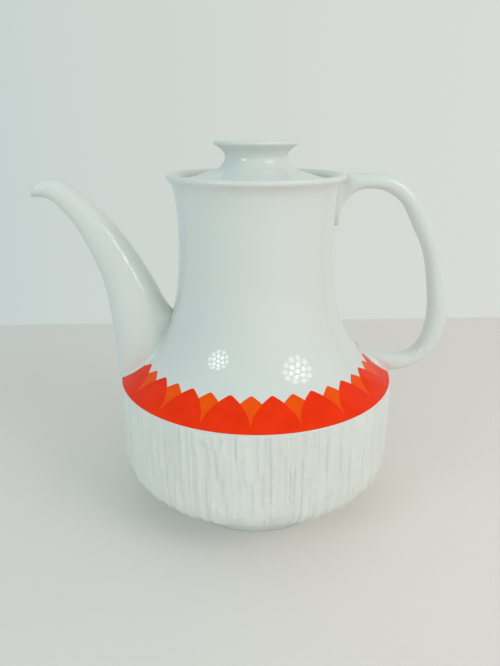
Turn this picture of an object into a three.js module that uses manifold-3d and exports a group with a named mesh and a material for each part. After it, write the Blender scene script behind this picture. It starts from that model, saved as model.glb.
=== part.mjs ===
// Porcelain coffee pot: ribbed drum, waisted neck, curved spout, loop handle, sunk lid and a printed petal band.
// Millimetres, +Z up. The pot stands on z = 0, its spout points to -X and its handle to +X.

import * as THREE from 'three';
import { mergeVertices } from 'three/addons/utils/BufferGeometryUtils.js';
import Module from 'manifold-3d';

const wasm = await Module();
wasm.setup();

// ---- driving dimensions ------------------------------------------------------------------------------------
const DRUM_RADIUS = 73.8; // crest of the ribbed wall
const EDGE_RADIUS = 73; // sharp edge between the drum and the shoulder
const EDGE_HEIGHT = 74.3;
const RIM_RADIUS = 43.8; // widest part of the rolled rim
const RIM_HEIGHT = 178.9;
const FOOT_RADIUS = 45.4; // outside of the flat foot ring
const FOOT_WIDTH = 2.4;
const WALL = 3.6;
const LEDGE_HEIGHT = 172.2; // the lid's seat inside the mouth
const LEDGE_RADIUS = 34.6;
const SPOUT_REACH = 112; // from the pot's axis to the lip
const HANDLE_REACH = 102.8;
const SPOUT_WALL = 3;
const LIP_WALL = 2.4;
const HOLE_MARGIN = 3; // the pouring hole is this much smaller than the spout's inside, all round
const KNOB_RADIUS = 21;
const STEM_RADIUS = 15.4;
const STEM_JOINT = 186.7; // where the knob joins the lid's stem
const TOTAL_HEIGHT = 194.2;
const PETALS = 19;
const PETAL_TURN = 7.1; // degrees from the front to the first red tip, towards the handle
const PETAL_TIP_RADIUS = 57.6;
const BAND_RADIUS = 72.5; // lower edge of the printed band
const LAYER = 0.2; // thickness of a printed layer
const JOINT_GAP = 0.3; // between pieces that are joined with slip

const AROUND = 36; // facets round the pot
const RADIANS = Math.PI / 180;
const AXIS_X = (SPOUT_REACH - HANDLE_REACH) / 2; // puts the pot's box in the middle of its frame

// ---- materials ---------------------------------------------------------------------------------------------
function finish(color, roughness) {
  return new THREE.MeshStandardMaterial({ color, roughness, metalness: 0 });
}
const GLAZE = [0xeef2ef, 0.15];
const RED = [0xe4300f, 0.25];
const ORANGE = [0xe55800, 0.25];

// ---- solids ------------------------------------------------------------------------------------------------
function toSolid(geometry) {
  const bare = geometry.clone();
  bare.deleteAttribute('normal');
  bare.deleteAttribute('uv');
  const merged = mergeVertices(bare, 1e-4);
  return new wasm.Manifold(new wasm.Mesh({
    numProp: 3,
    vertProperties: new Float32Array(merged.attributes.position.array),
    triVerts: new Uint32Array(merged.index.array),
  }));
}

function toGeometry(solid) {
  const mesh = solid.getMesh();
  const geometry = new THREE.BufferGeometry();
  geometry.setAttribute('position', new THREE.BufferAttribute(mesh.vertProperties, 3));
  geometry.setIndex(new THREE.BufferAttribute(mesh.triVerts, 1));
  geometry.computeVertexNormals();
  return geometry;
}

// The biggest body of a cut solid, without slivers left beside a cut.
function largest(solid) {
  const bodies = solid.decompose();
  return bodies.reduce((best, body) => (body.volume() > best.volume() ? body : best));
}

// A turned solid about +Z from an outline of [radius, height] points that runs anticlockwise.
function turned(outline) {
  const points = outline.map(([radius, height]) => new THREE.Vector2(radius, height));
  const geometry = new THREE.LatheGeometry(points, AROUND);
  geometry.rotateX(Math.PI / 2);
  return toSolid(geometry);
}

function closedLoop(outline) {
  return [...outline, outline[0]];
}

// Points evenly spaced in parameter along a smooth curve through the given [radius, height] points.
function smooth(points, steps) {
  const curve = new THREE.SplineCurve(points.map(([x, y]) => new THREE.Vector2(x, y)));
  return curve.getPoints(steps).map((point) => [point.x, point.y]);
}

// The same line moved sideways by a distance, to the left of its direction.
function offset(points, distance) {
  return points.map(([x, y], index) => {
    const [x0, y0] = points[Math.max(index - 1, 0)];
    const [x1, y1] = points[Math.min(index + 1, points.length - 1)];
    const length = Math.hypot(x1 - x0, y1 - y0);
    return [x - ((y1 - y0) / length) * distance, y + ((x1 - x0) / length) * distance];
  });
}

// A tube lofted between two rails in the XZ plane. A station is [outer x, outer z, inner x, inner z, half width].
// Its section is a rounded oval that spans the rails, and shrink moves the surface inwards.
const SECTION_SIDES = 20;
const STEPS_PER_STATION = 2;
function lofted(stations, squareness, shrink) {
  const rail = (i, j) => new THREE.CatmullRomCurve3(
    stations.map((station) => new THREE.Vector3(station[i], 0, station[j])), false, 'catmullrom', 0.5);
  const outer = rail(0, 1);
  const inner = rail(2, 3);
  const width = new THREE.SplineCurve(stations.map((station, index) => new THREE.Vector2(index, station[4])));
  const rings = (stations.length - 1) * STEPS_PER_STATION + 1;
  const positions = [];
  const centres = [];
  for (let ring = 0; ring < rings; ring += 1) {
    const t = ring / (rings - 1);
    const high = outer.getPoint(t);
    const low = inner.getPoint(t);
    const centre = high.clone().add(low).multiplyScalar(0.5);
    const across = high.clone().sub(low).normalize();
    const half = high.distanceTo(low) / 2 - shrink(t);
    const halfWidth = width.getPoint(t).y - shrink(t);
    centres.push(centre);
    for (let side = 0; side < SECTION_SIDES; side += 1) {
      const angle = (side / SECTION_SIDES) * 2 * Math.PI;
      const c = Math.sign(Math.cos(angle)) * Math.abs(Math.cos(angle)) ** (2 / squareness);
      const s = Math.sign(Math.sin(angle)) * Math.abs(Math.sin(angle)) ** (2 / squareness);
      positions.push(centre.x + across.x * half * c, halfWidth * s, centre.z + across.z * half * c);
    }
  }
  const first = rings * SECTION_SIDES;
  positions.push(...centres[0].toArray(), ...centres[rings - 1].toArray());
  const triangles = [];
  for (let side = 0; side < SECTION_SIDES; side += 1) {
    const next = (side + 1) % SECTION_SIDES;
    const last = (rings - 1) * SECTION_SIDES;
    triangles.push(first, side, next);
    triangles.push(first + 1, last + next, last + side);
    for (let ring = 0; ring < rings - 1; ring += 1) {
      const a = ring * SECTION_SIDES + side;
      const b = ring * SECTION_SIDES + next;
      triangles.push(a, b + SECTION_SIDES, b, a, a + SECTION_SIDES, b + SECTION_SIDES);
    }
  }
  const geometry = new THREE.BufferGeometry();
  geometry.setAttribute('position', new THREE.Float32BufferAttribute(positions, 3));
  geometry.setIndex(triangles);
  return toSolid(geometry);
}

// ---- outlines of the body ----------------------------------------------------------------------------------
const SHOULDER_AND_NECK = [
  [EDGE_RADIUS, EDGE_HEIGHT], [67.2, 78], [61.7, 82], [57, 86], [52.8, 90.6], [49.3, 96], [46.2, 103.2],
  [43.2, 112.5], [40.8, 126], [39.7, 141], [39.6, 154], [40.3, 166], [42.1, 174.1], [RIM_RADIUS, RIM_HEIGHT - 1.4],
];

const UNDERSIDE = [
  [0, 5.2], [FOOT_RADIUS - FOOT_WIDTH - 2, 4.4], [FOOT_RADIUS - FOOT_WIDTH, 0], [FOOT_RADIUS, 0],
  [FOOT_RADIUS + 0.5, 1], [FOOT_RADIUS + 1.2, 6.2],
];

const DRUM = [
  ...smooth([[50, 10.4], [57, 15.7], [64, 20], [69.4, 24], [72.6, 29.4], [DRUM_RADIUS, 37]], 6),
  [DRUM_RADIUS, EDGE_HEIGHT - 1.8], [EDGE_RADIUS, EDGE_HEIGHT - 0.8],
];

const RIM = [
  [RIM_RADIUS - 0.3, RIM_HEIGHT - 0.4], [RIM_RADIUS - 1.2, RIM_HEIGHT], [RIM_RADIUS - 2.1, RIM_HEIGHT - 0.4],
  [RIM_RADIUS - 2.8, RIM_HEIGHT - 1.5],
];

const LEDGE = [
  [39, LEDGE_HEIGHT + 0.8], [38.4, LEDGE_HEIGHT], [LEDGE_RADIUS, LEDGE_HEIGHT], [LEDGE_RADIUS, LEDGE_HEIGHT - 2],
  [36.3, LEDGE_HEIGHT - 5],
];

const CAVITY = [
  ...offset(SHOULDER_AND_NECK, WALL).slice(0, -3).reverse(),
  [DRUM_RADIUS - WALL, EDGE_HEIGHT - 6], [DRUM_RADIUS - WALL, 38], [68.4, 31], [64, 25], [55, 18.8], [47, 13],
  [41, 9.4], [0, 8.8],
];

const OUTSIDE = [...UNDERSIDE, ...DRUM, ...SHOULDER_AND_NECK, ...RIM];

// The pot's outer form as a plain solid, grown by a gap, which trims the pieces that are joined to it.
function bodyForm(gap) {
  const skin = offset([...DRUM, ...SHOULDER_AND_NECK, ...RIM.slice(0, 2)], -gap);
  return turned([[0, 0], [skin[0][0], 0], ...skin, [0, RIM_HEIGHT + gap]]);
}

// ---- rails of the spout and the handle -----------------------------------------------------------------------
// [outer x, outer z, inner x, inner z, half width], measured from the pot's axis.
const SPOUT_STATIONS = [
  [-73.5, 59, -46, 62, 12], [-75.5, 74, -45.2, 78, 14.8], [-75.6, 88.6, -45, 93, 15.4],
  [-77.1, 108.1, -48, 110.4, 14.2], [-80.4, 128.2, -58.8, 133.6, 11.2], [-86.9, 144.4, -70.6, 151.5, 8.8],
  [-92.7, 155.3, -82.3, 164.5, 7.3], [-98.8, 162.7, -91.6, 172.4, 6.9], [-104.4, 166.6, -98.7, 176.3, 6.6],
  [-SPOUT_REACH, 168.2, -103.4, 177, 6.3],
];

const HANDLE_STATIONS = [
  [36, 178, 36, 152, 4.4], [41.6, 178.4, 41.3, 153.6, 4.6], [44.9, 178.9, 43.2, 161.8, 5.2],
  [48.1, 179.2, 46.1, 166.8, 5.7], [53.2, 179.2, 51.1, 170.6, 6], [59.5, 179.2, 59, 171.3, 6],
  [68.6, 177.5, 65.6, 169.7, 5.9], [76, 172.9, 71.8, 165.7, 5.8], [86.2, 160.1, 78.8, 154.8, 5.8],
  [94, 141.8, 86.4, 139.8, 5.8], [98.5, 123.9, 90.4, 122.4, 5.8], [HANDLE_REACH, 105.2, 92.1, 106.2, 6],
  [100.3, 92.5, 90.6, 94.1, 6], [94.4, 82.7, 87.3, 87.3, 6], [86, 76.8, 82.1, 84.1, 6],
  [76.4, 73.9, 73.3, 83.6, 5.8], [65.8, 74.1, 64.1, 84.7, 4.8], [57.2, 76.9, 54.9, 89.8, 3],
];

const noShrink = () => 0;
const grow = () => -JOINT_GAP;
const spoutWall = (t) => SPOUT_WALL + (LIP_WALL - SPOUT_WALL) * t;

// Carries a loft on past its ends, so that the channel cuts clean through the mouth and into the pot.
function extended(stations, distance) {
  const carry = (from, to) => {
    const length = Math.hypot(to[0] + to[2] - from[0] - from[2], to[1] + to[3] - from[1] - from[3]) / 2;
    const factor = distance / length;
    return to.map((value, index) => (index < 4 ? value + (value - from[index]) * factor : value));
  };
  return [...stations, carry(stations[stations.length - 2], stations[stations.length - 1])];
}

// ---- pieces --------------------------------------------------------------------------------------------------
const SQUARE_SPOUT = 2.4;
const SQUARE_HANDLE = 2.3;

function channel() {
  return lofted(extended(SPOUT_STATIONS, 3), SQUARE_SPOUT, spoutWall);
}

function makeBody() {
  const shell = turned([...OUTSIDE, ...LEDGE, ...CAVITY]);
  const pouringHole = lofted(SPOUT_STATIONS, SQUARE_SPOUT, () => SPOUT_WALL + HOLE_MARGIN);
  return shell.subtract(pouringHole);
}

function makeSpout() {
  const outside = lofted(SPOUT_STATIONS, SQUARE_SPOUT, noShrink);
  return largest(outside.subtract(bodyForm(JOINT_GAP)).subtract(channel()));
}

function makeHandle() {
  return largest(lofted(HANDLE_STATIONS, SQUARE_HANDLE, noShrink).subtract(bodyForm(JOINT_GAP)));
}

function makeLid() {
  const seat = LEDGE_HEIGHT + JOINT_GAP;
  const flange = LEDGE_RADIUS - 1;
  const bore = STEM_RADIUS - 3.2;
  const top = smooth([[37.6, seat + 2.4], [36, seat + 3.9], [32, 177.6], [25.6, 179.1], [19.6, 181.2],
    [16.3, 183.8], [STEM_RADIUS, STEM_JOINT - JOINT_GAP]], 10);
  return turned(closedLoop([
    [flange - 3, 155], [flange - 0.8, 155], [flange, 157], [flange, seat], [37, seat], [37.6, seat + 0.7],
    ...top, [bore, STEM_JOINT - JOINT_GAP], [bore + 0.3, 181], [16, 178], [23, 175.6], [flange - 4, 173.2],
    [flange - 3.2, 170],
  ]));
}

function makeKnob() {
  const bore = STEM_RADIUS - 3.2;
  const underside = smooth([[STEM_RADIUS, STEM_JOINT], [15.9, 188.6], [17.9, 190.7], [20.4, 191.7]], 4);
  return turned([
    [0, 190.4], [bore - 2, 190.2], [bore, 188.6], [bore, STEM_JOINT], ...underside,
    [KNOB_RADIUS, 192.4], [KNOB_RADIUS, 193.6], [KNOB_RADIUS - 0.7, TOTAL_HEIGHT], [KNOB_RADIUS - 3, TOTAL_HEIGHT],
    [0, TOTAL_HEIGHT - 0.4],
  ]);
}

// ---- printed band --------------------------------------------------------------------------------------------
// One petal's right-hand side as [share of the half pitch, radius], from the tip down to the band's edge.
const PETAL_SIDE = [[0, PETAL_TIP_RADIUS], [0.36, 59.5], [0.59, 61.5], [0.82, 64.5], [0.95, 67.6], [1, 70.6]];

// The star-shaped outline of one colour, seen from above, as a prism.
function petalPrism(turn) {
  const shape = new THREE.Shape();
  const hole = new THREE.Path();
  const corner = (radius, degrees) => [
    radius * Math.sin(degrees * RADIANS), -radius * Math.cos(degrees * RADIANS)];
  const halfPitch = 180 / PETALS;
  const ring = [];
  for (let petal = 0; petal < PETALS; petal += 1) {
    const middle = turn + petal * 2 * halfPitch;
    const left = PETAL_SIDE.slice(1).reverse();
    left.forEach(([share, radius]) => ring.push(corner(radius, middle - share * halfPitch)));
    PETAL_SIDE.slice(0, -1).forEach(([share, radius]) => ring.push(corner(radius, middle + share * halfPitch)));
  }
  const rim = Array.from({ length: AROUND }, (_, index) => corner(90, (index * 360) / AROUND));
  shape.setFromPoints(rim.map(([x, y]) => new THREE.Vector2(x, y)));
  hole.setFromPoints(ring.map(([x, y]) => new THREE.Vector2(x, y)));
  shape.holes.push(hole);
  const geometry = new THREE.ExtrudeGeometry(shape, { depth: 40, bevelEnabled: false });
  geometry.translate(0, 0, 60);
  return toSolid(geometry);
}

// A printed layer follows the shoulder at a height above it, and stops short of the spout and the handle.
function printedLayer(turn, height) {
  const slope = SHOULDER_AND_NECK.slice(0, 5);
  const edge = (EDGE_RADIUS - BAND_RADIUS) / (EDGE_RADIUS - slope[1][0]);
  slope[0] = [BAND_RADIUS, EDGE_HEIGHT + (slope[1][1] - EDGE_HEIGHT) * edge];
  const under = offset(slope, -height);
  const over = offset(slope, -height - LAYER);
  const skin = turned(closedLoop([...over, ...under.reverse()]));
  return skin.intersect(petalPrism(turn))
    .subtract(lofted(SPOUT_STATIONS, SQUARE_SPOUT, grow))
    .subtract(lofted(HANDLE_STATIONS, SQUARE_HANDLE, grow));
}

// The half of a layer on one side of the pot, front (-1) or back (+1).
function halfBand(layer, side) {
  const block = new THREE.BoxGeometry(200, 100, 100);
  block.translate(0, -side * (50 - JOINT_GAP / 2), 100);
  return largest(layer.subtract(toSolid(block)));
}

// ---- assembly ------------------------------------------------------------------------------------------------
const pot = new THREE.Group();
pot.position.x = AXIS_X;

function place(name, solid, [color, roughness]) {
  const mesh = new THREE.Mesh(toGeometry(solid), finish(color, roughness));
  mesh.name = name;
  pot.add(mesh);
}

place('body', makeBody(), GLAZE);
place('spout', makeSpout(), GLAZE);
place('handle', makeHandle(), GLAZE);
place('lid', makeLid(), GLAZE);
place('lid_knob', makeKnob(), GLAZE);

const orangeLayer = printedLayer(PETAL_TURN + 180 / PETALS, LAYER);
const redLayer = printedLayer(PETAL_TURN, 3 * LAYER);
place('petals_orange_front', halfBand(orangeLayer, -1), ORANGE);
place('petals_orange_back', halfBand(orangeLayer, 1), ORANGE);
place('petals_red_front', halfBand(redLayer, -1), RED);
place('petals_red_back', halfBand(redLayer, 1), RED);

export default pot;
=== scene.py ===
# Porcelain coffee pot: ribbed drum, waisted neck, curved spout, loop handle, sunk lid and a printed band
# of petals. Outlines are in millimetres from the pot's own upright axis. The meshes are made in metres,
# in the frame's axes.
import math

import bpy
import bmesh
import numpy as np
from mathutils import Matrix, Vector


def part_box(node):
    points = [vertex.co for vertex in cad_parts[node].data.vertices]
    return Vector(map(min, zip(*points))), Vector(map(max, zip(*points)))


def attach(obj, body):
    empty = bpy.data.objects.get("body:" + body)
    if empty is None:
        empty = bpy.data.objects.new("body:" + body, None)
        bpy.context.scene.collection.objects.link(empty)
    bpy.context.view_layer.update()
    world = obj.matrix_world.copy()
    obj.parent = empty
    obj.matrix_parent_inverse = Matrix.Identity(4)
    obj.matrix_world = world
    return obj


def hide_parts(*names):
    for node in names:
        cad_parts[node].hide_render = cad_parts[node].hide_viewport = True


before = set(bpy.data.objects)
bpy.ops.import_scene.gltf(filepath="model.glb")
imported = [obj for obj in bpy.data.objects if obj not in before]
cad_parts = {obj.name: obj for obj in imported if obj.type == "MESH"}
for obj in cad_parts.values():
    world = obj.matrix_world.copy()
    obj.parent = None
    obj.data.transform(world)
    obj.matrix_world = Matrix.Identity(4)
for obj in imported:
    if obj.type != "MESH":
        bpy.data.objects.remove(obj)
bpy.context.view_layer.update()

MM = 0.001
SCENE = bpy.context.scene

# ---- driving dimensions, from the frame ----------------------------------------------------------
BODY_LOW, BODY_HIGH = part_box("body")
KNOB_LOW, KNOB_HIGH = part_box("lid_knob")
AXIS_X = (BODY_LOW.x + BODY_HIGH.x) / 2
RIM_HEIGHT = BODY_HIGH.z / MM
DRUM_RADIUS = (BODY_HIGH.y - BODY_LOW.y) / 2 / MM
TOTAL_HEIGHT = KNOB_HIGH.z / MM
KNOB_RADIUS = (KNOB_HIGH.y - KNOB_LOW.y) / 2 / MM

# ---- other dimensions, in millimetres ------------------------------------------------------------
EDGE_RADIUS = 72.9  # where the shoulder would meet the drum if their edge weren't rounded
EDGE_HEIGHT = 74.3
EDGE_ROUNDING = 0.55
RELIEF_DEPTH = 1.6  # from the deepest groove of the drum to its highest ridge
WALL = 3.6
LEDGE_HEIGHT = 172.2
LEDGE_RADIUS = 34.6
STEM_RADIUS = 15.4
STEM_JOINT = 186.7
SPOUT_WALL = 3.0
LIP_WALL = 3.4
HOLE_MARGIN = 3.0  # the pouring hole is this much smaller than the spout's inside, all round
# Fillets where the spout and the handle meet the body, as heights and the radii there.
SPOUT_FILLETS = ((98, 106), (1.5, 9))
HANDLE_FILLETS = ((110, 140), (2.4, 3.4))
EMBEDDED = 0.4  # how far the spout and the handle reach into the body's skin

COLUMNS = 240  # facets round a smooth turned surface
RELIEF_COLUMNS = 4 * COLUMNS
RELIEF_ROWS = 60
SPOUT_RINGS, SPOUT_SIDES = 421, 112
CHANNEL_STEP = 6  # the spout's inside has one ring to so many outside
LIP_STEPS = 11
HOLE_RINGS, HOLE_SIDES = 40, 48
HANDLE_RINGS, HANDLE_SIDES = 480, 80


# ---- curves --------------------------------------------------------------------------------------
def smooth_curve(points, count):
    """A count of points along a natural cubic spline through the given ones, which can have any columns."""
    points = np.array(points, float)
    gaps = np.linalg.norm(np.diff(points, axis=0), axis=1)
    along = np.concatenate([[0], np.cumsum(gaps)])
    last = len(points) - 1
    system = np.eye(last + 1)
    wanted = np.zeros_like(points)
    for k in range(1, last):
        system[k, k - 1 : k + 2] = gaps[k - 1], 2 * (gaps[k - 1] + gaps[k]), gaps[k]
        wanted[k] = 6 * ((points[k + 1] - points[k]) / gaps[k] - (points[k] - points[k - 1]) / gaps[k - 1])
    bend = np.linalg.solve(system, wanted)
    at = np.linspace(0, along[-1], count)
    k = np.clip(np.searchsorted(along, at, side="right") - 1, 0, last - 1)
    gap = gaps[k][:, None]
    before = (along[k + 1] - at)[:, None] / gap
    after = 1 - before
    straight = before * points[k] + after * points[k + 1]
    return straight + ((before**3 - before) * bend[k] + (after**3 - after) * bend[k + 1]) * gap**2 / 6


def arc(centre, radius, start, end, count):
    """Points on a circle from one angle to another, in degrees anticlockwise from +radius."""
    angle = np.radians(np.linspace(start, end, count))
    return np.column_stack([centre[0] + radius * np.cos(angle), centre[1] + radius * np.sin(angle)])


def joined(*lines):
    """One outline from several lines of points."""
    return np.concatenate([np.array(line, float).reshape(-1, 2) for line in lines])


def side_normals(outline):
    """Unit normals of an outline, to the right of its direction."""
    along = np.gradient(outline, axis=0)
    along /= np.linalg.norm(along, axis=1)[:, None]
    return np.column_stack([along[:, 1], -along[:, 0]])


def eased(value, low, high):
    """0 below low, 1 above high, and a smooth step between them."""
    share = np.clip((value - low) / (high - low), 0, 1)
    return share * share * (3 - 2 * share)


# ---- meshes --------------------------------------------------------------------------------------
def new_piece(name, points, faces, material, sharp_angle=None):
    """A smooth-shaded mesh object with its faces outwards, from points in millimetres from the pot's axis."""
    mesh = bpy.data.meshes.new(name)
    mesh.from_pydata((np.array(points) * MM + [AXIS_X, 0, 0]).tolist(), [], faces)
    work = bmesh.new()
    work.from_mesh(mesh)
    if work.calc_volume(signed=True) < 0:
        bmesh.ops.reverse_faces(work, faces=work.faces)
    work.to_mesh(mesh)
    work.free()
    mesh.polygons.foreach_set("use_smooth", [True] * len(mesh.polygons))
    if sharp_angle:
        mesh.set_sharp_from_angle(angle=math.radians(sharp_angle))
    mesh.materials.append(material)
    piece = bpy.data.objects.new(name, mesh)
    SCENE.collection.objects.link(piece)
    return piece


def strip(first, first_count, second, second_count):
    """Faces between two rings of points. One ring's count is the same as the other's or a multiple of it."""
    faces = []
    if first_count <= second_count:
        factor = second_count // first_count
        for k in range(first_count):
            upper = [second + (k * factor + j) % second_count for j in range(factor, -1, -1)]
            faces.append([first + k, first + (k + 1) % first_count, *upper])
    else:
        factor = first_count // second_count
        for k in range(second_count):
            lower = [first + (k * factor + j) % first_count for j in range(factor + 1)]
            faces.append([*lower, second + (k + 1) % second_count, second + k])
    return faces


def fan(first, second, count, upwards):
    """Triangles between a single point and a ring."""
    if upwards:
        return [[first, second + (k + 1) % count, second + k] for k in range(count)]
    return [[second + k, second + (k + 1) % count, first] for k in range(count)]


def skin_rings(name, rings, material, closed=False, sharp_angle=None):
    """A mesh through rings of points. A ring of one point closes an end, and closed joins last to first."""
    counts = [len(ring) for ring in rings]
    starts = np.concatenate([[0], np.cumsum(counts)]).tolist()
    pairs = [(k, k + 1) for k in range(len(rings) - 1)]
    if closed:
        pairs.append((len(rings) - 1, 0))
    faces = []
    for low, high in pairs:
        if counts[low] == 1:
            faces += fan(starts[low], starts[high], counts[high], True)
        elif counts[high] == 1:
            faces += fan(starts[high], starts[low], counts[low], False)
        else:
            faces += strip(starts[low], counts[low], starts[high], counts[high])
    return new_piece(name, np.concatenate(rings), faces, material, sharp_angle)


def ring(radius, height, columns=COLUMNS):
    """A level ring of points round the pot's axis, or a single point on it."""
    if np.ndim(radius) == 0 and radius == 0:
        return np.array([[0, 0, height]])
    turn = np.arange(columns) / columns * 2 * math.pi
    return np.column_stack([radius * np.cos(turn), radius * np.sin(turn), np.broadcast_to(height, columns)])


def turned(name, outline, material, closed=False, sharp_angle=None):
    """A mesh turned about the pot's axis from an outline of (radius, height) points."""
    return skin_rings(name, [ring(r, z) for r, z in outline], material, closed, sharp_angle)


def carved(piece, cutter):
    """Takes the cutter's volume away from the piece, and the cutter away from the scene."""
    cut = piece.modifiers.new("cut", "BOOLEAN")
    cut.operation = "DIFFERENCE"
    cut.solver = "MANIFOLD"
    cut.object = cutter
    evaluated = piece.evaluated_get(bpy.context.evaluated_depsgraph_get())
    mesh = bpy.data.meshes.new_from_object(evaluated)
    mesh.name = piece.name
    piece.modifiers.clear()
    piece.data = mesh
    bpy.data.objects.remove(cutter)
    return piece


# ---- materials -----------------------------------------------------------------------------------
def colour_ramp(tree, value, stops):
    """A colour ramp over a value in a node tree. A stop is (position, colour)."""
    node = tree.nodes.new("ShaderNodeValToRGB")
    elements = node.color_ramp.elements
    while len(elements) < len(stops):
        elements.new(0.5)
    for element, (position, colour) in zip(elements, stops):
        element.position = position
        element.color = (*colour, 1)
    tree.links.new(value, node.inputs["Fac"])
    return node.outputs["Color"]


def map_range(tree, value, low, high, start=0, end=1):
    """The value from start to end mapped to the range from low to high."""
    node = tree.nodes.new("ShaderNodeMapRange")
    for socket, number in zip(("From Min", "From Max", "To Min", "To Max"), (start, end, low, high)):
        node.inputs[socket].default_value = number
    tree.links.new(value, node.inputs["Value"])
    return node.outputs["Result"]


class Surface:
    """A Principled material with helpers for the few kinds of detail that fired porcelain has."""

    def __init__(self, name):
        self.material = bpy.data.materials.new(name)
        self.material.use_nodes = True
        self.tree = self.material.node_tree
        self.shader = self.tree.nodes["Principled BSDF"]
        self.place = self.tree.nodes.new("ShaderNodeTexCoord").outputs["Object"]

    def noise(self, scale, detail=2, stretch=(1, 1, 1)):
        """Noise from 0 to 1 over the object, with about scale cells to a metre."""
        mapping = self.tree.nodes.new("ShaderNodeMapping")
        mapping.inputs["Scale"].default_value = stretch
        texture = self.tree.nodes.new("ShaderNodeTexNoise")
        texture.inputs["Scale"].default_value = scale
        texture.inputs["Detail"].default_value = detail
        self.tree.links.new(self.place, mapping.inputs["Vector"])
        self.tree.links.new(mapping.outputs["Vector"], texture.inputs["Vector"])
        return texture.outputs["Fac"]

    def tint(self, value, first, second):
        """A colour between two close ones, by a noise value."""
        colour = colour_ramp(self.tree, value, [(0.35, first), (0.65, second)])
        self.tree.links.new(colour, self.shader.inputs["Base Color"])

    def roughness(self, value, low, high):
        self.tree.links.new(map_range(self.tree, value, low, high), self.shader.inputs["Roughness"])

    def bump(self, *layers):
        """Raises the surface by noise. A layer is (value, height in millimetres)."""
        normal = None
        for value, height in layers:
            node = self.tree.nodes.new("ShaderNodeBump")
            node.inputs["Distance"].default_value = height * MM
            self.tree.links.new(value, node.inputs["Height"])
            if normal:
                self.tree.links.new(normal, node.inputs["Normal"])
            normal = node.outputs["Normal"]
        self.tree.links.new(normal, self.shader.inputs["Normal"])


def white_glaze():
    """Clear gloss glaze on a white body, with the faint waviness that a fired glaze has."""
    surface = Surface("white_glaze")
    surface.tint(surface.noise(14, 3), (0.695, 0.743, 0.723), (0.715, 0.758, 0.738))
    surface.roughness(surface.noise(55, 3), 0.008, 0.025)
    surface.bump((surface.noise(70, 1), 0.008), (surface.noise(900, 2), 0.0006))
    surface.shader.inputs["IOR"].default_value = 1.5
    return surface.material


def ribbed_glaze():
    """Thin semi-matte glaze over the drum's relief."""
    surface = Surface("ribbed_glaze")
    surface.tint(surface.noise(90, 4, (1, 1, 0.25)), (0.735, 0.765, 0.735), (0.77, 0.795, 0.76))
    surface.roughness(surface.noise(160, 3), 0.34, 0.56)
    surface.bump((surface.noise(700, 3, (1, 1, 0.05)), 0.12), (surface.noise(1500, 3, (1, 1, 0.3)), 0.03))
    surface.shader.inputs["IOR"].default_value = 1.5
    return surface.material


def bare_body():
    """Unglazed porcelain, where the foot stood in the kiln."""
    surface = Surface("bare_body")
    surface.tint(surface.noise(500, 4), (0.62, 0.60, 0.55), (0.72, 0.70, 0.66))
    surface.roughness(surface.noise(900, 3), 0.7, 0.9)
    surface.bump((surface.noise(2500, 4), 0.03))
    return surface.material


def printed(name, first, second):
    """Fired-on print under a gloss, with the slight unevenness of a screened ink."""
    surface = Surface(name)
    surface.tint(surface.noise(120, 5), first, second)
    surface.roughness(surface.noise(300, 3), 0.05, 0.10)
    surface.bump((surface.noise(70, 1), 0.008), (surface.noise(1800, 3), 0.001))
    surface.shader.inputs["Specular IOR Level"].default_value = 0.12
    return surface.material


GLAZE = white_glaze()
RIBBED = ribbed_glaze()
BARE = bare_body()
RED = printed("red_print", (0.89, 0.029, 0.0005), (0.95, 0.036, 0.001))
ORANGE = printed("orange_print", (0.91, 0.085, 0.0003), (0.97, 0.100, 0.0005))


# ---- the drum's relief ---------------------------------------------------------------------------
def lattice_noise(seed, across, along, turn, rise):
    """Smooth noise from -1 to 1 with cells round the drum (turn 0 to 1) and up it (rise 0 to 1)."""
    lattice = np.random.default_rng(seed).uniform(-1, 1, (across, along + 2))
    u = (turn % 1) * across
    v = np.clip(rise, 0, 1) * along
    column = np.floor(u).astype(int) % across
    row = np.floor(v).astype(int)
    a = eased(u - np.floor(u), 0, 1)
    b = eased(v - np.floor(v), 0, 1)
    beside = (column + 1) % across
    low = lattice[column, row] * (1 - a) + lattice[beside, row] * a
    high = lattice[column, row + 1] * (1 - a) + lattice[beside, row + 1] * a
    return low * (1 - b) + high * b


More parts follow.
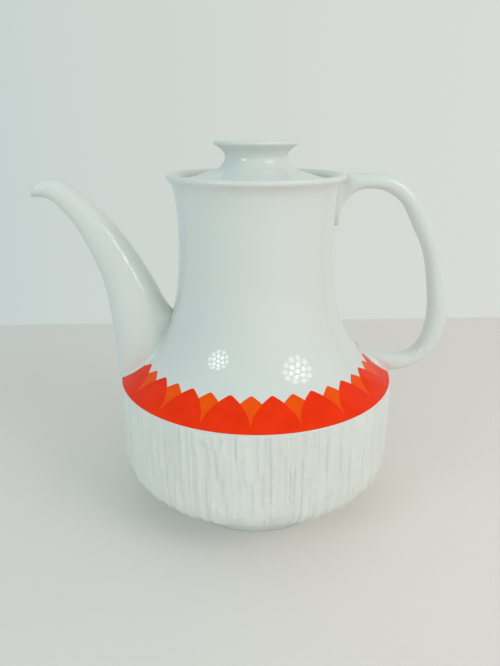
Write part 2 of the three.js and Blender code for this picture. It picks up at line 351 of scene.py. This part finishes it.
def bark(turn, rise):
    """The height of the bark-like relief from 0 to 1: uneven stepped bands, grooves, grain and knots."""
    bands, levels = 225, 5
    soft_edge, groove_width = 0.32, 0.4  # in millimetres
    draw = np.random.default_rng(11)
    edges = (np.arange(bands) + draw.uniform(-0.42, 0.42, bands)) / bands
    drift = 0.0010 * lattice_noise(1, 30, 3, turn, rise) + 0.0004 * lattice_noise(2, 170, 11, turn, rise)
    at = (turn + drift) % 1
    band = np.searchsorted(edges, at, side="right") - 1
    left = np.where(band < 0, edges[-1] - 1, edges[band])
    right = np.where(band >= bands - 1, edges[0] + 1, edges[(band + 1) % bands])
    circumference = 2 * math.pi * DRUM_RADIUS
    from_left = (at - left) * circumference
    from_right = (right - at) * circumference

    level = draw.uniform(0, 1, (bands, levels + 1))
    shift = draw.uniform(0, 1, bands)

    def band_height(index):
        step = rise * levels * 0.8 + shift[index]
        whole = np.clip(np.floor(step).astype(int), 0, levels - 1)
        share = eased(step - whole, 0.46, 0.54)
        return level[index, whole] * (1 - share) + level[index, whole + 1] * share

    own = band_height(band % bands)
    before = band_height((band - 1) % bands)
    after = band_height((band + 1) % bands)
    to_before = 0.5 * (before - own) * (1 - eased(from_left, 0, soft_edge))
    to_after = 0.5 * (after - own) * (1 - eased(from_right, 0, soft_edge))
    own = own + to_before + to_after

    deep = draw.uniform(-0.5, 1, bands).clip(0, 1)
    groove = deep[band % bands] * np.exp(-((from_left / groove_width) ** 2))
    groove += deep[(band + 1) % bands] * np.exp(-((from_right / groove_width) ** 2))
    groove *= 0.75 + 0.5 * lattice_noise(5, 90, 7, turn, rise)
    grain = 0.6 * lattice_noise(6, 440, 9, turn, rise) + 0.4 * lattice_noise(7, 300, 40, turn, rise)
    knots = eased(lattice_noise(8, 190, 30, turn, rise), 0.66, 0.9)
    return np.clip(0.42 + 0.58 * (own - 0.5) - 0.70 * groove + 0.14 * grain + 0.30 * knots, 0, 1)


# ---- vessel --------------------------------------------------------------------------------------
FOOT = joined(
    [(0, 5.2), (18, 5.1), (34, 4.7)],
    arc((38.4, 1.2), 3.3, 80, 20, 5),
    [(42.5, 0.5), (43.0, 0.1), (43.5, 0), (44.7, 0), (45.2, 0.12), (45.5, 0.5), (45.8, 1.6), (46.2, 3.4)],
)
BOWL = smooth_curve([(46.2, 3.4), (46.7, 5.0), (47.6, 6.5)], 4)[1:]
DRUM_WALL = smooth_curve([
    (47.6, 6.5), (50.6, 9.5), (57.7, 14.8), (64.8, 19.3), (69.9, 23.5), (72.7, 29.3), (73.3, 37), (73.3, 55),
    (73.1, 73.3)], RELIEF_ROWS)
SHOULDER_SLOPE = 33  # degrees from level
EDGE = arc((EDGE_RADIUS - 0.5, EDGE_HEIGHT - 0.6), EDGE_ROUNDING, 0, 90 - SHOULDER_SLOPE, 5)
SHOULDER_AND_NECK = smooth_curve([
    EDGE[-1], (67.2, 78.0), (61.7, 82.0), (57.0, 86.0), (52.8, 90.6), (49.3, 96.0), (46.05, 103.2),
    (43.2, 112.5), (40.8, 126.0), (39.7, 141.0), (39.6, 154.0), (40.3, 166.0), (41.2, 171.6), (42.1, 174.1),
    (43.3, 175.6), (44.2, 176.5)], 58)[1:]
RIM = joined(
    arc((43.0, RIM_HEIGHT - 1.5), 1.5, -25, 105, 11),
    smooth_curve([(42.2, 178.7), (40.9, 178.1), (39.7, 177.2), (39.0, 176.1), (38.8, 174.6)], 9),
    arc((37.6, LEDGE_HEIGHT + 1.2), 1.2, -10, -90, 4),
    [(36.4, LEDGE_HEIGHT)],
    arc((LEDGE_RADIUS + 0.6, LEDGE_HEIGHT - 0.6), 0.6, 90, 180, 4),
    [(LEDGE_RADIUS + 0.1, LEDGE_HEIGHT - 2.2), (35.8, LEDGE_HEIGHT - 4.6)],
)


def inner_wall():
    """The cavity's outline from under the ledge down to the middle of the floor."""
    neck = SHOULDER_AND_NECK - WALL * side_normals(SHOULDER_AND_NECK)
    below_ledge = neck[:, 1] < LEDGE_HEIGHT - 7
    inside_drum = neck[:, 0] < 67
    neck = neck[below_ledge & inside_drum][::-3]
    drum = smooth_curve([
        (69.4, 69.5), (69.6, 55), (69.4, 38), (67.4, 29.4), (62, 23.1), (54, 17.3), (46, 12.2)], 20)
    floor = [(40, 9.6), (30, 9.0), (15, 8.8), (0, 8.8)]
    return joined(neck, drum, floor)


def drum_rings():
    """The drum's wall, with the relief raised on it along its own normal."""
    turn = np.arange(RELIEF_COLUMNS) / RELIEF_COLUMNS
    normals = side_normals(DRUM_WALL)
    low, high = DRUM_WALL[0][1], DRUM_WALL[-1][1]
    rings = []
    for (radius, height), (out, up) in zip(DRUM_WALL, normals):
        rise = (height - low) / (high - low)
        fade = eased(height, low, low + 0.9) * (1 - eased(height, high - 0.9, high))
        fade *= np.interp(height, (low, low + 18), (0.4, 1))
        raised = (bark(turn, np.full_like(turn, rise)) - 0.45) * RELIEF_DEPTH * fade
        rings.append(ring(radius + raised * out, height + raised * up, RELIEF_COLUMNS))
    return rings


def material_number(centre):
    """Which of the vessel's materials a face has: 0 white glaze, 1 ribbed glaze, 2 bare body."""
    radius = math.hypot(centre.x - AXIS_X, centre.y) / MM
    height = centre.z / MM
    if height < 0.1:
        return 2
    middle_of_wall = np.interp(height, DRUM_WALL[:, 1], DRUM_WALL[:, 0]) - WALL / 2
    return 1 if 3 < height < EDGE_HEIGHT - 1 and radius > middle_of_wall else 0


def make_vessel():
    """The pot's casting as one closed skin, from the foot up the outside and down the inside."""
    outside = [ring(r, z) for r, z in joined(FOOT, BOWL)] + drum_rings()
    rest = [ring(r, z) for r, z in joined(EDGE, SHOULDER_AND_NECK, RIM, inner_wall())]
    vessel = carved(skin_rings("pot_vessel", outside + rest, GLAZE), make_pouring_hole())
    for material in (RIBBED, BARE):
        vessel.data.materials.append(material)
    numbers = [material_number(polygon.center) for polygon in vessel.data.polygons]
    vessel.data.polygons.foreach_set("material_index", numbers)
    return vessel


# ---- the body's outer form, which trims the spout and the handle ---------------------------------
OUTER_FORM = joined(DRUM_WALL, EDGE, SHOULDER_AND_NECK, RIM[:8], [(0, RIM_HEIGHT)])


def form_distance(points):
    """How far points lie outside the body's outer form, in millimetres, and less than 0 inside it."""
    flat = np.column_stack([np.hypot(points[:, 0], points[:, 1]), points[:, 2]])
    start, end = OUTER_FORM[:-1], OUTER_FORM[1:]
    step = end - start
    share = ((flat[:, None] - start) * step).sum(-1) / (step**2).sum(-1)
    nearest = start + np.clip(share, 0, 1)[..., None] * step
    away = flat[:, None] - nearest
    distance = np.linalg.norm(away, axis=-1)
    best = distance.argmin(1)
    rows = np.arange(len(flat))
    side = away[rows, best, 0] * step[best, 1] - away[rows, best, 1] * step[best, 0]
    return distance[rows, best] * np.sign(side)


def form_cutter():
    """A solid of the body's outer form, a little smaller, with a tall cap that also clears the mouth."""
    skin = (OUTER_FORM - EMBEDDED * side_normals(OUTER_FORM))[:-2]
    cap = [(skin[-1][0] - 0.6, RIM_HEIGHT + 6), (0, RIM_HEIGHT + 6)]
    return turned("form_cutter", joined([(0, 8)], skin, cap), GLAZE)


# ---- spout and handle ----------------------------------------------------------------------------
# A station is (outer x, outer z, inner x, inner z, half width), from the pot's axis.
SPOUT_STATIONS = [
    (-73.5, 59, -46, 62, 12), (-75.5, 74, -45.2, 78, 14.8), (-75.6, 88.6, -45, 93, 15.4),
    (-77.1, 108.1, -48, 110.4, 14.2), (-80.4, 128.2, -58.8, 133.6, 11.2), (-86.9, 144.4, -70.6, 151.5, 8.8),
    (-92.7, 155.3, -82.3, 164.5, 7.3), (-98.8, 162.7, -91.6, 172.4, 6.9), (-104.4, 166.8, -98.7, 176.3, 6.6),
    (-111.8, 167.4, -102.9, 176.4, 6.3),
]
HANDLE_STATIONS = [
    (41.6, 178.4, 41.3, 153.6, 4.6), (44.9, 178.9, 43.2, 161.8, 5.2), (48.1, 179.2, 46.1, 166.8, 5.7),
    (53.2, 179.2, 51.1, 170.6, 6), (59.5, 179.2, 59, 171.3, 6), (68.6, 177.5, 65.6, 169.7, 5.9),
    (76, 172.9, 71.8, 165.7, 5.8), (86.2, 160.1, 78.8, 154.8, 5.8), (94, 141.8, 86.4, 139.8, 5.8),
    (98.5, 123.9, 90.4, 122.4, 5.8), (102.6, 105.2, 92.1, 106.2, 6), (100.3, 92.5, 90.6, 94.1, 6),
    (94.4, 82.7, 87.3, 87.3, 6), (86, 76.8, 82.1, 84.1, 6), (76.4, 73.9, 73.3, 83.6, 5.8),
    (65.8, 74.1, 64.1, 84.7, 4.8), (57.2, 76.9, 56.0, 85.2, 3),
]
SPOUT_SQUARENESS = 2.3  # 2 is an ellipse, and more is squarer
HANDLE_SQUARENESS = 2.2
SHARP_ANGLE = 40  # edges with a bigger angle than this are shaded sharp


def stations_along(stations, count):
    """Centres, unit vectors from the inner to the outer rail, half depths and half widths along a tube."""
    line = smooth_curve(stations, count)
    outer = np.column_stack([line[:, 0], np.zeros(count), line[:, 1]])
    inner = np.column_stack([line[:, 2], np.zeros(count), line[:, 3]])
    depth = np.linalg.norm(outer - inner, axis=1)
    return (outer + inner) / 2, (outer - inner) / depth[:, None], depth / 2, line[:, 4]


def section(centre, across, half_depth, half_width, squareness, sides):
    """A rounded oval of points in the plane of a station."""
    angle = np.arange(sides) / sides * 2 * math.pi
    c = np.sign(np.cos(angle)) * np.abs(np.cos(angle)) ** (2 / squareness)
    s = np.sign(np.sin(angle)) * np.abs(np.sin(angle)) ** (2 / squareness)
    return centre + np.outer(half_depth * c, across) + np.outer(half_width * s, [0, 1, 0])


def flared(points, centre, fillets):
    """Moves a section's points outwards where they come near the body, which makes a rounded fillet there."""
    radius = np.interp(points[:, 2], *fillets)
    near = np.clip(form_distance(points), 0, radius)
    grow = radius - np.sqrt(radius**2 - (radius - near) ** 2)
    grow *= 1 - eased(points[:, 2], RIM_HEIGHT - 8, RIM_HEIGHT - 3)
    away = points - centre
    away /= np.linalg.norm(away, axis=1)[:, None]
    return points + away * grow[:, None]


def tube_rings(stations, count, squareness, sides, shrink=0.0, fillets=None):
    """The sections of a tube, with its surface moved inwards by shrink and flared where it meets the body."""
    rings = []
    for centre, across, depth, width in zip(*stations_along(stations, count)):
        points = section(centre, across, depth - shrink, width - shrink, squareness, sides)
        rings.append(flared(points, centre, fillets) if fillets else points)
    return rings


def make_pouring_hole():
    """A tube inside the spout that cuts the way from the drum into it."""
    rings = tube_rings(SPOUT_STATIONS, HOLE_RINGS, SPOUT_SQUARENESS, HOLE_SIDES, SPOUT_WALL + HOLE_MARGIN)
    ends = [rings[0].mean(0)[None], rings[-1].mean(0)[None]]
    return skin_rings("hole_cutter", [ends[0], *rings, ends[1]], GLAZE)


def make_spout():
    """The spout's outside, its rolled lip and its channel, as one closed skin that is cut to the body."""
    shape, sides = SPOUT_SQUARENESS, SPOUT_SIDES
    outside = tube_rings(SPOUT_STATIONS, SPOUT_RINGS, shape, sides, 0, SPOUT_FILLETS)
    centres, across, depths, widths = stations_along(SPOUT_STATIONS, SPOUT_RINGS)
    forward = np.cross([0, 1, 0], across[-1])
    forward *= np.sign(np.dot(forward, centres[-1] - centres[-2]))
    lip = []
    for angle in np.linspace(0, math.pi, LIP_STEPS)[1:-1]:
        inwards = LIP_WALL / 2 * (1 - math.cos(angle))
        centre = centres[-1] + forward * LIP_WALL / 2 * math.sin(angle)
        lip.append(section(centre, across[-1], depths[-1] - inwards, widths[-1] - inwards, shape, sides))
    walls = np.linspace(SPOUT_WALL, LIP_WALL, SPOUT_RINGS)
    channel = []
    for k in range(SPOUT_RINGS - 1, -1, -CHANNEL_STEP):
        depth, width = depths[k] - walls[k], widths[k] - walls[k]
        channel.append(section(centres[k], across[k], depth, width, shape, sides // 2))
    spout = skin_rings("pot_spout", outside + lip + channel, GLAZE, closed=True)
    spout = carved(spout, form_cutter())
    spout.data.set_sharp_from_angle(angle=math.radians(SHARP_ANGLE))
    return spout


def make_handle():
    """A loop whose ends are carried into the body and then cut to it."""
    rings = tube_rings(HANDLE_STATIONS, HANDLE_RINGS, HANDLE_SQUARENESS, HANDLE_SIDES, 0, HANDLE_FILLETS)
    inside_neck = rings[0] - [8, 0, 0]
    inside_shoulder = rings[-1] - [7, 0, 5]
    ends = [inside_neck.mean(0)[None], inside_shoulder.mean(0)[None]]
    handle = skin_rings("pot_handle", [ends[0], inside_neck, *rings, inside_shoulder, ends[1]], GLAZE)
    handle = carved(handle, form_cutter())
    handle.data.set_sharp_from_angle(angle=math.radians(SHARP_ANGLE))
    return handle


# ---- lid and knob --------------------------------------------------------------------------------
def make_lid():
    """A cap with a rounded edge on the ledge, a flange that reaches down into the neck, and a hollow stem."""
    seat = LEDGE_HEIGHT + 0.3
    flange = LEDGE_RADIUS - 1
    bore = STEM_RADIUS - 3.2
    top = smooth_curve([
        (37.5, seat + 1.6), (36.6, seat + 3.2), (33.0, 176.9), (26.0, 178.8), (20.2, 180.7), (16.6, 183.4),
        (15.5, STEM_JOINT - 0.8), (STEM_RADIUS, STEM_JOINT)], 44)
    outline = joined(
        arc((flange - 1.4, 156.4), 1.4, 180, 360, 9),
        [(flange, 160), (flange, 166), (flange + 0.2, seat - 0.4), (flange + 0.7, seat), (36.2, seat)],
        arc((36.7, seat + 0.8), 0.8, -90, 0, 5),
        top,
        [(STEM_RADIUS - 1.2, STEM_JOINT + 0.6), (bore, STEM_JOINT + 0.6), (bore, STEM_JOINT - 1.5)],
        smooth_curve([
            (bore + 0.1, 183.5), (13.4, 180.2), (18.5, 177.4), (25, 175.2), (29.2, 172.6), (30.6, 168)], 18),
        [(flange - 2.8, 162), (flange - 2.8, 157.6)],
    )
    return turned("lid_cap", outline, GLAZE, closed=True, sharp_angle=SHARP_ANGLE)


def make_knob():
    """A spool-shaped knob with a thin rim and a slightly sunk top."""
    bore = STEM_RADIUS - 3.4
    underside = smooth_curve([
        (STEM_RADIUS, STEM_JOINT), (15.6, 187.7), (16.7, 189.5), (18.6, 190.9),
        (KNOB_RADIUS - 0.8, 191.95)], 20)
    outline = joined(
        [(0, 190.0), (bore - 3, 189.9)],
        arc((bore - 1.6, 188.3), 1.6, 90, 0, 5),
        [(bore, STEM_JOINT + 0.3), (bore + 0.4, STEM_JOINT), (STEM_RADIUS - 0.4, STEM_JOINT)],
        underside,
        arc((KNOB_RADIUS - 1.05, TOTAL_HEIGHT - 1.2), 1.05, -60, 75, 9),
        [(KNOB_RADIUS - 1.4, TOTAL_HEIGHT - 0.05), (KNOB_RADIUS - 2.6, TOTAL_HEIGHT)],
        [(KNOB_RADIUS - 5, TOTAL_HEIGHT - 0.12), (11, TOTAL_HEIGHT - 0.35), (6, TOTAL_HEIGHT - 0.45)],
        [(0, TOTAL_HEIGHT - 0.5)],
    )
    return turned("lid_grip", outline, GLAZE, sharp_angle=SHARP_ANGLE)


# ---- printed petals ------------------------------------------------------------------------------
PETALS = 19
PETAL_TURN = 7.1  # degrees from the front to the first red tip, towards the handle
ORANGE_LIFT, RED_LIFT = 0.05, 0.09  # over the glaze
BAND_RADIUS = 72.65
# A petal's half width as a share of half the pitch, at some radii, from its tip to the band's lower edge.
PETAL_RADII = [57.6, 57.9, 59.5, 60.6, 61.5, 62.9, 64.5, 66.0, 67.6, 69.2, 70.6, BAND_RADIUS]
PETAL_SHARES = [0, 0.10, 0.36, 0.50, 0.59, 0.71, 0.82, 0.90, 0.95, 0.982, 1, 1]


def shoulder_point(radius, turn, lift):
    """A point over the shoulder at a radius and at degrees from the front, lifted off its surface."""
    slope = joined(EDGE[-1:], SHOULDER_AND_NECK[:40])
    outline = slope[::-1]
    normals = side_normals(slope)[::-1]
    height = np.interp(radius, outline[:, 0], outline[:, 1])
    out = np.interp(radius, outline[:, 0], normals[:, 0])
    up = np.interp(radius, outline[:, 0], normals[:, 1])
    reach = radius + lift * out
    angle = np.radians(turn)
    return np.stack([reach * np.sin(angle), -reach * np.cos(angle), height + lift * up], -1)


def make_petals(name, material, first_turn, lift):
    """A ring of pointed petals as thin shells that follow the shoulder and dip into it along their edges."""
    rows, columns, buried = 34, 14, -0.12
    length = BAND_RADIUS - PETAL_RADII[0]
    rises = np.linspace(0.06, 1, rows - 1) ** 1.3  # crowded towards the tip
    radii = np.concatenate([[PETAL_RADII[0]], PETAL_RADII[0] + length * rises])
    shares = np.interp(radii, PETAL_RADII, PETAL_SHARES)
    across = np.linspace(-1, 1, columns + 1)
    half_pitch = 180 / PETALS
    points, faces = [], []
    for petal in range(PETALS):
        middle = first_turn + petal * 2 * half_pitch
        turn = middle + half_pitch * shares[:, None] * across
        radius = np.broadcast_to(radii[:, None], turn.shape)
        start = len(points) * (columns + 1) * rows
        top = shoulder_point(radius, turn, lift).reshape(-1, 3)
        base = shoulder_point(radius, turn, buried).reshape(-1, 3)
        points += [top, base]
        faces += shell_faces(start, rows, columns + 1)
    return new_piece(name, np.concatenate(points), faces, material, sharp_angle=50)


def shell_faces(start, rows, columns):
    """Faces of a closed sheet whose top grid comes first and whose lower grid follows it."""
    under = start + rows * columns
    faces = []
    for row in range(rows - 1):
        for column in range(columns - 1):
            a = row * columns + column
            quad = [a, a + 1, a + columns + 1, a + columns]
            faces.append([start + k for k in quad[::-1]])
            faces.append([under + k for k in quad])
    border = [(0, column) for column in range(columns)]
    border += [(row, columns - 1) for row in range(1, rows)]
    border += [(rows - 1, column) for column in range(columns - 2, -1, -1)]
    border += [(row, 0) for row in range(rows - 2, 0, -1)]
    for here, there in zip(border, border[1:] + border[:1]):
        a = here[0] * columns + here[1]
        b = there[0] * columns + there[1]
        faces.append([start + a, start + b, under + b, under + a])
    return faces


# ---- floor, light and camera ---------------------------------------------------------------------
TABLE_FAR_EDGE = (0.283, 0.310)  # how far behind the pot the table ends, left and right of it
TABLE_EDGE_SPAN = 0.56  # between the places of those two distances
TABLE_REACH = 1.6
# Painted light: the table's colour grows paler and warmer from left to right, standing in for warmer light
# falling from the right.
TABLE_PAINTED_LIGHT_COLOURS = [(0.0, (0.765, 0.76, 0.75)), (1.0, (0.88, 0.81, 0.775))]  # from left to right
TABLE_PAINTED_LIGHT_REACH = 0.25  # how far to either side of the pot the table's colour changes
# The room's colours by how far a direction points to the left (0) or to the right (1).
ROOM_COLOURS = [
    (0.0, (0.42, 0.58, 0.64)), (0.2, (0.51, 0.61, 0.61)), (0.35, (0.600, 0.660, 0.637)),
    (0.5, (0.645, 0.685, 0.650)), (0.65, (0.690, 0.710, 0.670)), (0.8, (0.71, 0.72, 0.68)),
    (1.0, (0.76, 0.755, 0.70)),
]
ROOM_IN_FRONT = 1.2  # how much brighter the room is in front of the pot than behind it
ROOM_OVERHEAD = 0.93  # how bright it is straight above, as a share of its sides


def make_table():
    """A pale table top, painted paler and warmer towards the right where more light falls, that ends a little
    way behind the pot.
    """
    surface = Surface("table_top")
    tree = surface.tree
    place = tree.nodes.new("ShaderNodeSeparateXYZ")
    tree.links.new(surface.place, place.inputs["Vector"])
    # Painted light: the table's colour runs from a cooler, darker left to a paler, warmer right.
    across = map_range(tree, place.outputs["X"], 0, 1, -TABLE_PAINTED_LIGHT_REACH, TABLE_PAINTED_LIGHT_REACH)
    tree.links.new(colour_ramp(tree, across, TABLE_PAINTED_LIGHT_COLOURS), surface.shader.inputs["Base Color"])
    surface.roughness(surface.noise(40, 3), 0.55, 0.7)
    surface.bump((surface.noise(1200, 3, (1, 0.3, 1)), 0.08))
    slope = (TABLE_FAR_EDGE[1] - TABLE_FAR_EDGE[0]) / TABLE_EDGE_SPAN
    middle = sum(TABLE_FAR_EDGE) / 2
    corners = [
        (-TABLE_REACH, -TABLE_REACH, 0), (TABLE_REACH, -TABLE_REACH, 0),
        (TABLE_REACH, middle + slope * TABLE_REACH, 0), (-TABLE_REACH, middle - slope * TABLE_REACH, 0),
    ]
    mesh = bpy.data.meshes.new("table_top")
    mesh.from_pydata(corners, [], [(0, 1, 2, 3)])
    mesh.materials.append(surface.material)
    table = bpy.data.objects.new("table_top", mesh)
    SCENE.collection.objects.link(table)


def set_world():
    """A pale room that is cooler and dimmer to the left of the pot than to the right of it."""
    world = bpy.data.worlds.new("soft_room")
    world.use_nodes = True
    tree = world.node_tree
    background = tree.nodes["Background"]
    towards = tree.nodes.new("ShaderNodeSeparateXYZ")
    tree.links.new(tree.nodes.new("ShaderNodeTexCoord").outputs["Generated"], towards.inputs["Vector"])
    rightness = map_range(tree, towards.outputs["X"], 0, 1, -1, 1)
    tree.links.new(colour_ramp(tree, rightness, ROOM_COLOURS), background.inputs["Color"])
    strength = tree.nodes.new("ShaderNodeMath")
    strength.operation = "MULTIPLY"
    tree.links.new(map_range(tree, towards.outputs["Y"], ROOM_IN_FRONT, 1, -1, 0), strength.inputs[0])
    tree.links.new(map_range(tree, towards.outputs["Z"], 1, ROOM_OVERHEAD, 0.35, 1), strength.inputs[1])
    tree.links.new(strength.outputs["Value"], background.inputs["Strength"])
    SCENE.world = world


def add_disc(name, place, away, radius, height_share, radiance, colour):
    """A soft elliptical light of a given brightness that shines back along a direction."""
    data = bpy.data.lights.new(name, "AREA")
    data.shape = "ELLIPSE"
    data.size = 2 * radius
    data.size_y = data.size * height_share
    data.energy = radiance * math.pi**2 * radius**2 * height_share
    data.color = colour
    disc = bpy.data.objects.new(name, data)
    disc.location = place
    disc.rotation_euler = away.to_track_quat("Z", "Y").to_euler()
    SCENE.collection.objects.link(disc)


LAMP_DISTANCE = 0.9
LAMP_AIM = (0.025, -0.046, 0.094)  # the shoulder's front, with the first moved towards the lamp's side
REFLECTOR_DEPTH = 0.004  # between a lamp's round reflectors and its face
# A lamp's discs as (number, distance from its middle, radius, brightness), as shares of the lamp's own.
LAMP_DISCS = [(1, 0, 0.16, 1), (6, 0.43, 0.16, 0.8), (10, 0.80, 0.18, 0.45), (1, 0, 1, 0.06)]


def add_lamp(name, azimuth, elevation, spread, height_share, radiance, colour):
    """A lamp of many small round reflectors. Azimuth 0 is in front and turns towards the handle."""
    turn, lift = math.radians(azimuth), math.radians(elevation)
    away = Vector((math.sin(turn) * math.cos(lift), -math.cos(turn) * math.cos(lift), math.sin(lift)))
    level = Vector((math.cos(turn), math.sin(turn), 0))
    upright = away.cross(level) * height_share
    middle = Vector((AXIS_X + LAMP_AIM[0] * away.x, LAMP_AIM[1], LAMP_AIM[2])) + away * LAMP_DISTANCE
    lamp_radius = LAMP_DISTANCE * math.tan(math.radians(spread))
    for ring_number, (count, offset, radius, share) in enumerate(LAMP_DISCS):
        for k in range(count):
            angle = math.pi * (0.5 + 2 * k / count)
            place = middle + (level * math.cos(angle) + upright * math.sin(angle)) * offset * lamp_radius
            if radius < 1:
                place -= away * REFLECTOR_DEPTH
            disc_name = f"{name}_{ring_number}_{k}"
            add_disc(disc_name, place, away, radius * lamp_radius, height_share, share * radiance, colour)


CAMERA_PLACE = (AXIS_X - 0.00301, -0.28246, 0.19864)
CAMERA_TILT = 20.174  # degrees down from level
CAMERA_LENS = 29.81  # millimetres, on a sensor of 36


def make_camera():
    """A camera in front of the pot that looks a little down on it."""
    data = bpy.data.cameras.new("camera")
    data.sensor_width = 36
    data.lens = CAMERA_LENS
    data.clip_start = 0.01
    camera = bpy.data.objects.new("camera", data)
    camera.location = CAMERA_PLACE
    camera.rotation_euler = (math.radians(90 - CAMERA_TILT), 0, 0)
    SCENE.collection.objects.link(camera)
    SCENE.camera = camera


# ---- assembly ------------------------------------------------------------------------------------
def install(piece, body, slot, *nodes):
    """Ties a piece to its moving body and hides the frame's nodes that it stands for; the slot is not used.
    """
    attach(piece, body)
    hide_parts(*nodes)


make_camera()
install(make_vessel(), "pot", "white_glaze", "body")
install(make_spout(), "pot", "white_glaze", "spout")
install(make_handle(), "pot", "white_glaze", "handle")
install(make_petals("petals_orange", ORANGE, PETAL_TURN + 180 / PETALS, ORANGE_LIFT), "pot", "orange_print",
        "petals_orange_front", "petals_orange_back")
install(make_petals("petals_red", RED, PETAL_TURN, RED_LIFT), "pot", "red_print",
        "petals_red_front", "petals_red_back")
install(make_lid(), "lid", "white_glaze", "lid")
install(make_knob(), "lid", "white_glaze", "lid_knob")

make_table()
set_world()
add_lamp("left_lamp", -47.5, 26.0, 13.0, 0.66, 9.5, (0.95, 1.0, 1.0))
add_lamp("right_lamp", 53.2, 35.0, 16.8, 0.88, 7.6, (1.0, 0.98, 0.95))
SCENE.view_settings.view_transform = "Standard"
